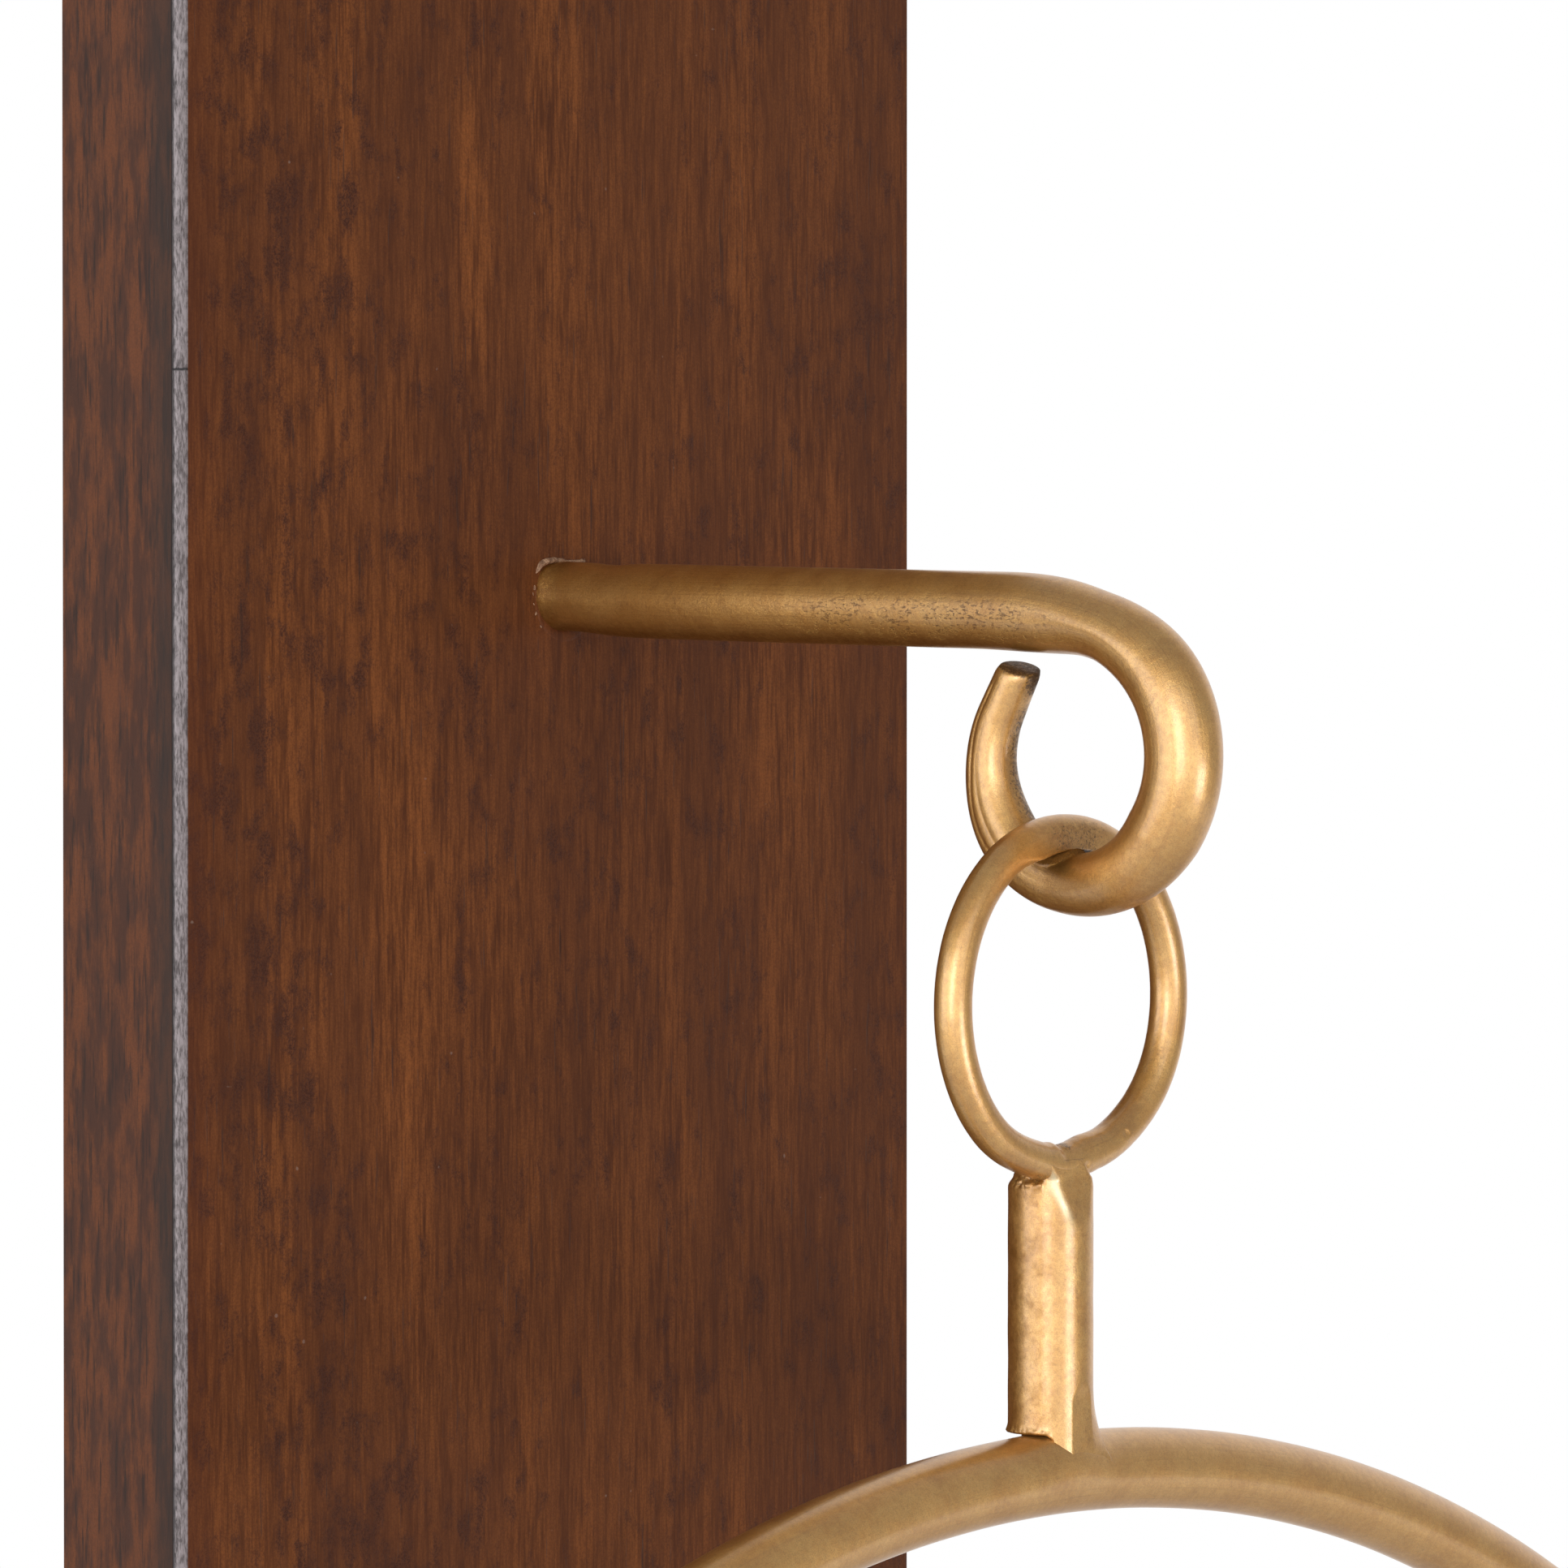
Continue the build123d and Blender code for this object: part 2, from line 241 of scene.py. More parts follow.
def stainedWood():
    s, c = woodSizes, woodColours
    wood = Finish("stainedWood", Roughness=0.42, Specular_IOR_Level=0.14)
    normal = wood.node("NewGeometry", {}, {}, "True Normal")
    sideways, forwards = [wood.node("SeparateXYZ", {}, {0: normal}, axis) for axis in "XY"]
    across, inward, upward = [wood.node("SeparateXYZ", {}, {0: wood.place}, axis) for axis in "XYZ"]
    lean = wood.size(sideways)
    grain = {}
    for kind, (waves, detail, roughness) in woodGrains.items():
        grain[kind] = wood.grain(wood.stretch(wood.place, waves), 1.0, detail, roughness)
    fine, broad, cloud = grain["fine"], grain["broad"], grain["cloud"]
    dots = wood.between(wood.grain(wood.place, s["stippleWaves"], 3.0, 0.7), 0.42, 0.58)

    # the stained face
    colour = wood.blend(wood.between(fine * 0.5 + grain["fibre"] * 0.5, 0.33, 0.66), c["dark"], c["light"])
    colour = wood.blend(wood.between(broad, 0.35, 0.65) * 0.55, colour, c["band"])
    colour = wood.blend(wood.between(cloud, 0.40, 0.62) * 0.35, colour, c["cloud"])
    colour = wood.blend(wood.between(grain["flame"], 0.56, 0.74) * 0.4, colour, c["flame"])
    leftSide = wood.between(wood.size(across + s["strip"]), *s["stripFade"])
    cloudy = wood.between(grain["blotch"] + cloud * 0.5 + leftSide * 0.06, 0.75, 0.96)
    colour = wood.blend(cloudy * (dots * 0.5 + 0.5), colour, c["blotch"])
    colour = wood.blend(dots * 0.34, colour, c["dot"])
    pore = wood.between(grain["pore"], 0.66, 0.76)
    colour = wood.blend(pore * 0.55, colour, c["pore"])
    colour = wood.blend(wood.between(across, *s["rightShade"]) * 0.22, colour, c["right"])
    colour = wood.blend(wood.between(across, *s["leftShade"]) * 0.35, colour, c["left"])
    dust = wood.between(wood.grain(wood.place, s["dustWaves"], 0.0), 0.85, 0.89)
    colour = wood.blend(dust * 0.22, colour, c["dust"])

    # the sides, darker along their front edge
    sideColour = wood.blend(wood.between(grain["warm"], 0.38, 0.62), c["sideCool"], c["sideWarm"])
    sideColour = wood.blend(dots * 0.25, sideColour, c["sideDot"])
    sideColour = wood.blend(wood.between(grain["streak"], 0.51, 0.66) * 0.75, sideColour, c["sideStreak"])
    bandFrom, bandTo = [s["front"] + depth for depth in s["bandFade"]]
    band = 1 - wood.between(inward + broad * s["bandWander"], bandFrom, bandTo)
    sideColour = wood.blend(band * 0.62, sideColour, c["sideFront"])
    colour = wood.blend(wood.between(lean, 0.85, 0.99), colour, sideColour)

    # the eased front edges, rubbed pale and also painted lighter as their highlight, with a crack and a nick
    arris = wood.between(lean, 0.4, 0.6) * (1 - wood.between(lean, 0.8, 0.9))
    arris = arris * wood.between(forwards, -0.1, -0.4)
    hair = wood.grain(wood.stretch(wood.place, s["napWaves"], s["napTurn"]), 1.0, 4.0, 0.7)
    # pale hairs of rubbed wood; the pale colour is also a painted highlight on the edge
    pale = wood.between(hair * 0.75 + grain["worn"] * 0.25, 0.36, 0.62)
    arrisColour = wood.blend(pale, c["arrisDark"], c["arrisPaleAndHighlight"])
    nearFront = wood.between(inward, s["front"] + s["arris"], s["front"])
    arrisColour = wood.blend(nearFront * 0.4, arrisColour, c["arrisFront"])
    crack = wood.line(upward + s["crackDrop"] + hair * s["crackWander"], *s["crackFade"])
    nick = wood.line(upward + s["nickDrop"] + hair * s["nickWander"], *s["nickFade"])
    arrisColour = wood.blend(wood.maths("MAXIMUM", crack, nick * 0.7), arrisColour, c["nick"])
    # a strip of the front face beside the edge, rubbed pale and painted lighter as part of the highlight
    rubbedAndHighlight = wood.between(upward, *s["rubbedHighlightHeight"], 0.0, s["rubbedHighlightWidth"])
    rubbedAndHighlight = rubbedAndHighlight + hair * s["rubbedHighlightWander"] - (s["half"] - s["arris"])
    rubbedAndHighlight = wood.between(across - rubbedAndHighlight, s["rubbedHighlightSoft"], 0.0) * wood.between(forwards, -0.9, -0.98)
    colour = wood.blend(wood.maths("MAXIMUM", arris, rubbedAndHighlight), colour, arrisColour)
    seam = wood.line(inward - s["front"] - s["arris"], *s["seamFade"])
    colour = wood.blend(seam * wood.between(lean, 0.3, 0.6) * 0.8, colour, c["seam"])

    wood.feed(Base_Color=colour, Roughness=wood.between(fine + cloudy * 0.2, 0.3, 0.8, 0.36, 0.52))
    wood.relief(fine * 0.5 - pore * 0.5 - dots * cloudy * 0.3 + hair * arris * 2, s["relief"])
    return wood.material


tornColours = {"pale": (0.46, 0.275, 0.165), "dark": (0.22, 0.105, 0.055), "stain": (0.15, 0.075, 0.045)}
zincColours = {"plate": (0.55, 0.56, 0.56), "screw": (0.62, 0.58, 0.47)}
rubberColours = {"dark": (0.02, 0.02, 0.021), "light": (0.045, 0.045, 0.047)}


def tornWood():
    torn = Finish("tornWood", Roughness=0.6, Specular_IOR_Level=0.3)
    shreds = torn.grain(torn.place, 3200.0, 4.0, 0.7)
    stained = torn.between(torn.grain(torn.place, 700.0, 3.0), 0.45, 0.65)
    colour = torn.blend(torn.between(shreds, 0.35, 0.65), tornColours["pale"], tornColours["dark"])
    colour = torn.blend(stained * 0.6, colour, tornColours["stain"])
    torn.feed(Base_Color=colour, Roughness=torn.between(shreds, 0.3, 0.7, 0.5, 0.8))
    torn.relief(shreds, 0.0001)
    return torn.material


def zincPlate(name, tint):
    zinc = Finish(name, Metallic=1.0, Roughness=0.35)
    spangle = zinc.grain(zinc.place, 700.0, 4.0)
    brushed = zinc.grain(zinc.stretch(zinc.place, (3000, 3000, 120)), 1.0, 3.0)
    colour = zinc.blend(zinc.between(spangle, 0.3, 0.7), tint, tuple(part * 0.75 for part in tint))
    zinc.feed(Base_Color=colour, Roughness=zinc.between(spangle + brushed, 0.7, 1.4, 0.3, 0.5))
    zinc.relief(brushed + spangle, 0.00003)
    return zinc.material


def blackRubber():
    rubber = Finish("blackRubber", Roughness=0.7, Specular_IOR_Level=0.4)
    grit = rubber.grain(rubber.place, 2400.0, 3.0)
    colour = rubber.blend(grit, rubberColours["dark"], rubberColours["light"])
    rubber.feed(Base_Color=colour, Roughness=rubber.between(grit, 0.3, 0.7, 0.6, 0.8))
    rubber.relief(grit, 0.0001)
    return rubber.material


woodFinish = stainedWood()
goldFinish = goldPaint("goldPaint", 0.6, 0.27)
barFinish = goldPaint("goldBarPaint", 0.42, 0.28, barLines=True)
smoothFinish = goldPaint("goldHoopPaint", 0.3, 0.28, barLines=True)
lipFinish = tornWood()
zincFinish = zincPlate("zincPlate", zincColours["plate"])
screwFinish = zincPlate("screwSteel", zincColours["screw"])
rubberFinish = blackRubber()
print("finishes made")


def addObject(name, data):
    made = bpy.data.objects.new(name, data)
    bpy.context.scene.collection.objects.link(made)
    return made


def finishPiece(bm, name, material, body, nodes):
    bmesh.ops.recalc_face_normals(bm, faces=bm.faces)
    mesh = bpy.data.meshes.new(name)
    bm.to_mesh(mesh)
    bm.free()
    for face in mesh.polygons:
        face.use_smooth = True
    mesh.materials.append(material)
    piece = addObject(name, mesh)
    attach(piece, body)
    if nodes:
        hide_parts(*nodes)
    return piece


def pushRing(bm, edges):
    # adds a round of points on top of the last one, for the caller to move
    made = bmesh.ops.extrude_edge_only(bm, edges=edges)["geom"]
    verts = [g for g in made if isinstance(g, bmesh.types.BMVert)]
    edges = [g for g in made if isinstance(g, bmesh.types.BMEdge) and all(v in verts for v in g.verts)]
    return verts, edges


def fade(value, start, end):
    t = min(1.0, max(0.0, (value - start) / (end - start)))
    return t * t * (3 - 2 * t)


def hump(value, middle, width):
    return exp(-((value - middle) / width) ** 2)


# the next three take a strength, and where it lies, from a piece's dictionary
def swell(size, value):
    strength, middle, width = size
    return strength * hump(value, middle, width)


def ramp(size, value):
    strength, start, full = size
    return strength * fade(value, start, full)


def nearby(size, distance):
    strength, full, end = size
    return strength * (1 - fade(distance, full, end))


def span(value, rise, fall):
    return fade(value, *rise) * (1 - fade(value, *fall))


def patch(travel, turn, lowTravel, highTravel, lowTurn, highTurn, softTravel, softTurn):
    # 1 inside a patch of the bar's skin, falling to 0 over its soft border
    start = (lowTravel - softTravel, lowTravel + softTravel)
    end = (highTravel - softTravel, highTravel + softTravel)
    middle, half = (lowTurn + highTurn) / 2, (highTurn - lowTurn) / 2
    away = abs((turn - middle + 180) % 360 - 180)
    return span(travel, start, end) * (1 - fade(away, half - softTurn, half + softTurn))


# travel is metres along the bar from the board;
# turn is degrees round it, 0 to the left and 90 on a bend's inner side
hookSizes = {
    "rod": 0.0097, "droop": 0.9, "reach": 0.0755,
    "leadRadius": 0.0715, "leadTurn": 12.7,
    "loopRadius": 0.0161, "loopTurn": 177.3, "thinningTurn": 112.0,
    "curlRadius": 0.0142, "curlTurn": 106.9,
    "tipRun": 0.0065, "waist": 0.0072, "tip": 0.0053,
    "sides": 128, "step": 0.0005,
    "curlStart": (0.143, 0.152), "foldEnd": (0.0035, 0.001), "foldSway": 4, "foldWaves": 420,
    "groove": (0.00012, -23, 4.5), "grooveLip": (0.00004, -34, 7),
    "mouth": (-0.0004, 0.0020), "mouthSwell": (0.00062, -4, 52), "mouthDab": (0.00055, -42, 22),
    "lumpWaves": (160, 160, 110), "lumpStart": (0.055, 0.075), "lump": 0.00004, "curlLump": 0.00010,
    "seatFill": (0.00006, 0.0007, 0.0017), "packedGrimeAndShade": (3, 1.2), "seatSootAndShade": (1.15, 0.0010, 0.0019),
    "seatShade": (0.8, 0.0012, 0.0042), "rootGrimeAndShade": (0.8, 0.0010, 0.0042),
    "cutRun": 0.0045, "cutLean": (0.15, 0.16), "cutRound": 0.09, "cutEdge": 0.0008,
    "rim": 0.0003, "rimRise": 0.00008, "rimSoot": 0.66,
}
# where the bending and hammering moved the bar's surface: travel, reach, outer side, inner side
hammering = [
    (0.0005, 0.0055, 0.00000, -0.00070),
    (0.0090, 0.0022, -0.00028, 0.00000),
    (0.0780, 0.0030, 0.00000, 0.00012),
    (0.0895, 0.0034, -0.00020, -0.00062),
    (0.0945, 0.0042, -0.00058, -0.00012),
    (0.1240, 0.0040, -0.00012, 0.00006),
    (0.1490, 0.0062, 0.00042, 0.00035),
    (0.1545, 0.0050, 0.00020, 0.00045),
    (0.1680, 0.0040, 0.00012, 0.00004),
]
# strength, then the patch: travel from and to, turn from and to, soft travel, soft turn
# the first spot is painted shade on the bend's inner side where the ring sits
sootAndShadeSpots = [
    (0.60, 0.136, 0.147, 60, 130, 0.003, 25),
    (0.52, 0.146, 0.171, 74, 170, 0.002, 30),
    (0.30, 0.139, 0.150, -60, -8, 0.003, 15),
]
# painted shade in brown: under the straight rod, and on the outer underside of the loop's bottom
shadeSpots = [
    (0.95, -0.01, 0.080, 44, 150, 0.012, 24),
    (0.75, 0.126, 0.156, -150, -64, 0.008, 24),
]
scuffSpot = (0.046, 0.085, -14, 48, 0.010, 16)
tipSpot = (0.75, -0.0030, 0.0100, 66, 180, 0.0018, 34)  # its travel is measured from the tip
hookLow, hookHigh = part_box("hook_rod")
droop = radians(hookSizes["droop"])
rearRun = hookHigh[1] - boardLow[1]
rodRoot = Vector((0, boardLow[1], hookHigh[2] - hookSizes["rod"] / 2 / cos(droop) - rearRun * tan(droop)))

ringLow, ringHigh = [Vector(c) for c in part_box("hanger_ring")]
ringMiddle = (ringLow + ringHigh) / 2
ringHalf = (ringHigh.y - ringLow.y) / 2
ringReach = (ringHigh.x - ringLow.x) / 2 - ringHalf


def bendHook(bm):
    # pushes the bar out from its rear end to its tip; a round is its points, centre, angle and travel
    s = hookSizes
    heading = Vector((0, -cos(droop), -sin(droop)))
    centre = rodRoot - heading * (rearRun / cos(droop))
    turned = Matrix.Rotation(droop, 4, "X") @ Matrix.Rotation(pi / 2, 4, "X")
    place = Matrix.Translation(centre) @ turned
    verts = bmesh.ops.create_circle(bm, segments=s["sides"], radius=s["rod"] / 2, matrix=place)["verts"]
    edges = list(bm.edges)
    curlLength = s["curlRadius"] * radians(s["curlTurn"])
    curlEnd = s["waist"] + (s["tip"] - s["waist"]) * curlLength / (curlLength + s["tipRun"])
    # kind, length or radius, degrees, thickness from and to where it changes
    runs = [
        ("line", rearRun / cos(droop) + s["reach"], 0, None, None),
        ("bend", s["leadRadius"], s["leadTurn"], None, None),
        ("bend", s["loopRadius"], s["thinningTurn"], None, None),
        ("bend", s["loopRadius"], s["loopTurn"] - s["thinningTurn"], s["rod"], s["waist"]),
        ("bend", s["curlRadius"], s["curlTurn"], s["waist"], curlEnd),
        ("line", s["tipRun"], 0, curlEnd, s["tip"]),
    ]
    phi = droop
    width = s["rod"]
    travel = -rearRun
    rounds = [(verts, centre.copy(), phi, travel)]
    for kind, size, turn, first, last in runs:
        length = size if kind == "line" else size * radians(turn)
        steps = ceil(length / s["step"])
        middle = centre + size * Vector((0, sin(phi), -cos(phi)))
        for step in range(1, steps + 1):
            verts, edges = pushRing(bm, edges)
            if kind == "line":
                move = Vector((0, -cos(phi), -sin(phi))) * length / steps
                bmesh.ops.translate(bm, vec=move, verts=verts)
                centre = centre + move
            else:
                turning = Matrix.Rotation(radians(turn) / steps, 3, "X")
                bmesh.ops.rotate(bm, cent=middle, matrix=turning, verts=verts)
                centre = middle + turning @ (centre - middle)
                phi += radians(turn) / steps
            if first:
                wanted = first + (last - first) * step / steps
                ratio = Vector((1, 1, 1)) * wanted / width
                bmesh.ops.scale(bm, vec=ratio, space=Matrix.Translation(-centre), verts=verts)
                width = wanted
            travel += length / steps
            rounds.append((verts, centre.copy(), phi, travel))
    return rounds


def hookBar():
    s = hookSizes
    bm = bmesh.new()
    soot, scuff, shade = [bm.verts.layers.float.new(layer) for layer in ("soot", "scuff", "shade")]
    straight = bm.verts.layers.float_vector.new("straight")
    rounds = bendHook(bm)
    total = rounds[-1][3]
    tipStrength, tipFrom, tipTo, *tipTurns = tipSpot
    spots = [*sootAndShadeSpots, (tipStrength, total + tipFrom, total + tipTo, *tipTurns)]
    fillFrom, fillFull, fillTo = s["seatFill"]
    for verts, centre, phi, travel in rounds:
        ahead = Vector((0, -cos(phi), -sin(phi)))
        inward = Vector((0, sin(phi), -cos(phi)))
        outer = sum(o * exp(-((travel - at) / reach) ** 2 / 2) for at, reach, o, i in hammering)
        inner = sum(i * exp(-((travel - at) / reach) ** 2 / 2) for at, reach, o, i in hammering)
        curl = fade(travel, *s["curlStart"])
        fold = curl * (1 - fade(travel, *[total - run for run in s["foldEnd"]]))
        sway = s["foldSway"] * sin(travel * s["foldWaves"])
        mouth = hump(travel, *s["mouth"])
        for vert in verts:
            arm = vert.co - centre
            across, side = arm.dot(inward), arm.x
            radius = hypot(across, side)
            turn = degrees(atan2(across, -side))
            push = (inner if across > 0 else outer) * abs(across) / radius
            # the folded seam along the curl, then paint and filler pushed into the hole's mouth
            for strength, (depth, middle, wide) in ((-fold, s["groove"]), (fold, s["grooveLip"])):
                push += strength * depth * hump(turn + sway, middle, wide)
            for swell, middle, wide in (s["mouthSwell"], s["mouthDab"]):
                push += mouth * swell * hump(turn, middle, wide)
            spot = Vector([size * waves for size, waves in zip((side, across, travel), s["lumpWaves"])])
            lumps = noise.noise(spot + Vector((3, 5, 7)))
            push += lumps * (s["lump"] + s["curlLump"] * curl) * fade(travel, *s["lumpStart"])
            vert.co = centre + arm * (radius + push) / radius
            # grime packed beside the spot where the ring sits, made dark as painted shade for the gap there
            level = hypot(vert.co.x, vert.co.z - ringMiddle.z) - ringReach
            gap = hypot(level, vert.co.y - ringMiddle.y) - ringHalf
            packed = 0
            if across > 0 and fillFrom < gap < fillTo:
                packed = 1 - fade(gap, fillFull, fillTo)
                vert.co += arm / radius * (gap - fillFrom) * packed
            # the skewed cut at the tip and its rounded edge
            cut = fade(travel, total - s["cutRun"], total)
            vert.co += ahead * cut * (s["cutLean"][0] * across + s["cutLean"][1] * side)
            vert.co -= arm * s["cutRound"] * fade(travel, total - s["cutEdge"], total)
            vert.co.y = max(vert.co.y, hookLow[1])
            dark = max(strength * patch(travel, turn, *area) for strength, *area in spots)
            # brown is painted shade: under the rod and the loop, at the root, and beside the ring's seat
            brown = max(strength * patch(travel, turn, *area) for strength, *area in shadeSpots)
            # grime with painted shade at the root, where the bar goes into the board
            brown = max(brown, nearby(s["rootGrimeAndShade"], travel))
            # beside the ring's seat: soot and brown as painted shade where the ring meets the bar
            if across > 0:
                dark = max(dark, nearby(s["seatSootAndShade"], gap))
                brown = max(brown, nearby(s["seatShade"], gap))
            rise, most = s["packedGrimeAndShade"]
            vert[soot] = max(dark, min(most, rise * packed))
            vert[shade] = brown
            vert[scuff] = patch(travel, turn, *scuffSpot)
            vert[straight] = Vector((side, across, travel))
    face = bmesh.ops.holes_fill(bm, edges=bm.edges, sides=0)["faces"]
    cutFace = [f for f in face if (f.calc_center_median() - rounds[-1][1]).length < 0.002]
    rim = bmesh.ops.inset_region(bm, faces=cutFace, thickness=s["rim"], depth=s["rimRise"])["faces"]
    for f in cutFace + rim:
        for vert in f.verts:
            vert[soot] = max(vert[soot], s["rimSoot"])
    return finishPiece(bm, "hookBar", barFinish, "wall_bracket", ["hook_rod"])


hookBar()

# filler closes the drilled hole around the bar; reach and depth of its rounds
fillerSizes = {"start": 0.0032, "sides": 96, "waves": 1800, "uneven": 0.00004}
fillerRounds = [(0.0036, 0.0004), (0.0041, 0.0001), (0.0046, -0.00004),
                (0.0051, -0.00007), (0.0055, -0.00003), (0.0058, 0.0001)]


def holeFiller():
    s = fillerSizes
    bm = bmesh.new()
    facing = Matrix.Translation((0, boardLow[1], rodRoot.z)) @ Matrix.Rotation(pi / 2, 4, "X")
    bmesh.ops.create_circle(bm, segments=s["sides"], radius=s["start"], matrix=facing)
    edges = list(bm.edges)
    for reach, depth in fillerRounds:
        verts, edges = pushRing(bm, edges)
        for vert in verts:
            arm = Vector((vert.co.x, 0, vert.co.z - rodRoot.z)).normalized() * reach
            place = Vector((arm.x, boardLow[1] + depth, rodRoot.z + arm.z))
            vert.co = place + noise.noise_vector(arm * s["waves"]) * s["uneven"]
    return finishPiece(bm, "holeFiller", woodFinish, "wall_bracket", [])


holeFiller()

# a torn lip of wood stands along the upper left of the hole, with small chips down its left side;
# millimetres to the right, upwards and thick, from the hole's middle
lipPath = [(-5.40, 3.3, 0.08), (-5.15, 3.8, 0.22), (-4.8, 4.25, 0.32), (-4.3, 4.65, 0.38), (-3.5, 4.95, 0.42),
           (-2.3, 5.1, 0.38), (-0.9, 5.0, 0.34), (0.7, 4.85, 0.30), (2.3, 4.85, 0.30), (3.4, 4.95, 0.34),
           (3.9, 5.25, 0.12)]
chips = [(-5.75, 1.5, 0.20), (-5.95, 0.7, 0.15), (-5.8, -0.6, 0.10), (-5.55, -1.9, 0.17), (-4.5, -3.6, 0.14)]
lipSizes = {"out": 0.05, "steps": 12, "sides": 16, "stand": 1.5, "chip": (0.7, 0.9, 1.7),
            "tear": (1400, 0.00016), "fray": (4500, 0.00005)}


def tornLip():
    s = lipSizes
    bm = bmesh.new()
    middle = Vector((0, boardLow[1], rodRoot.z))
    points = []
    for (x, z, size), (nextX, nextZ, nextSize) in zip(lipPath, lipPath[1:]):
        for step in range(s["steps"]):
            t = step / s["steps"]
            offset = Vector((x + (nextX - x) * t, s["out"], z + (nextZ - z) * t))
            points.append((middle + offset / 1000, (size + (nextSize - size) * t) / 1000))
    at, size = points[0]
    circle = bmesh.ops.create_circle(bm, segments=s["sides"], radius=size, matrix=Matrix.Translation(at))
    edges = list(bm.edges)
    rings = [(circle["verts"], at)]
    for nextAt, nextSize in points[1:]:
        verts, edges = pushRing(bm, edges)
        bmesh.ops.translate(bm, vec=nextAt - at, verts=verts)
        ratio = Vector((1, 1, 1)) * nextSize / size
        bmesh.ops.scale(bm, vec=ratio, space=Matrix.Translation(-nextAt), verts=verts)
        at, size = nextAt, nextSize
        rings.append((verts, at))
    # each ring of points is turned to stand across the lip, then everything is torn by noise
    for number, (verts, at) in enumerate(rings):
        before, after = rings[max(0, number - 2)][1], rings[min(len(rings) - 1, number + 2)][1]
        along = (after - before).normalized()
        out = Vector((-along.z, 0, along.x))
        for vert in verts:
            arm = vert.co - at
            vert.co = at + out * arm.x + Vector((0, arm.y * s["stand"], 0))
    bmesh.ops.holes_fill(bm, edges=bm.edges, sides=0)
    for x, z, size in chips:
        place = Matrix.Translation(middle + Vector((x, 0, z)) / 1000) @ Matrix.Diagonal((*s["chip"], 1))
        bmesh.ops.create_icosphere(bm, subdivisions=3, radius=size / 1000, matrix=place)
    for vert in bm.verts:
        tear, fray = [noise.noise_vector(vert.co * waves) * depth for waves, depth in (s["tear"], s["fray"])]
        vert.co += tear + fray
    return finishPiece(bm, "tornLip", lipFinish, "wall_bracket", [])


tornLip()
print("hook made")

hoopLow, hoopHigh = [Vector(c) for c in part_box("hoop")]
stemLow, stemHigh = [Vector(c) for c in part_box("hanger_stem")]


def wireRound(low, high, sides, steps):
    thickness = high.y - low.y
    centre = (low + high) / 2
    radius = (high.x - low.x - thickness) / 2
    bm = bmesh.new()
    soot = bm.verts.layers.float.new("soot")
    straight = bm.verts.layers.float_vector.new("straight")
    place = Matrix.Translation(centre + Vector((radius, 0, 0)))
    bmesh.ops.create_circle(bm, segments=sides, radius=thickness / 2, matrix=place)
    outline = list(bm.edges) + list(bm.verts)
    bmesh.ops.spin(bm, geom=outline, cent=centre, axis=(0, 1, 0), angle=2 * pi, steps=steps, use_merge=True)
    bmesh.ops.remove_doubles(bm, verts=bm.verts, dist=1e-7)
    for vert in bm.verts:
        arm = vert.co - centre
        vert[straight] = Vector((hypot(arm.x, arm.z) - radius, arm.y, atan2(arm.x, arm.z) * radius))
    return bm, centre, radius, thickness / 2, soot


# the ring was bent by hand: its lower right is pulled in, its ends meet in a notch over the stem;
# turn is degrees from its lowest point, positive to the right, and top is degrees from its highest point
ringSizes = {
    "sides": 72, "steps": 360,
    "pulls": [(0.00085, 27, 26), (0.0007, -16, 17), (0.0004, 12, 10)],
    "fill": (0.00038, 8, 10), "topWear": (0.00025, 0, 32),
    "notch": (0.00034, -5.5, 1.5), "notchSide": (0.0002, -9, 2.6),
    "lumpWaves": (420, 1100), "lump": 0.00003, "endLump": (0.00016, 6, 9), "sideLump": (0.00012, 33, 5),
    "seatFront": 0.00235, "seatRear": 0.0012, "seatRise": 0.024, "seatPad": 0.0001, "seatLump": 0.00004,
    "seat": (1, 18, 34), "seatDip": 0.2, "seatSoft": (1, 0, 0.35),
    "seatSootAndShade": (0.8, 14, 30), "seatDepth": (1, -0.1, 0.6),
    "crownSoot": (0.42, 6, 16), "crownDepth": (1, 0.1, 0.8), "crownSide": (1, -0.001, 0.001),
    "pits": [(5.5, 0.2), (30, -0.25)], "pitReach": 0.003,
    "pit": (0.00016, 0, 0.0004), "pitRim": (0.00007, 0.0007, 0.0003),
}
# strength, turn and width; side of the wire, 1 out or -1 in; share and the depths where it starts and is full
ringSoot = [
    ((0.45, -12, 7), 1, (1, 0.3, 0.9)),
    ((0.5, -1.5, 3), -1, (1, 0.2, 0.9)),
    ((0.25, 60, 30), -1, (1, 0.1, 0.8)),
]


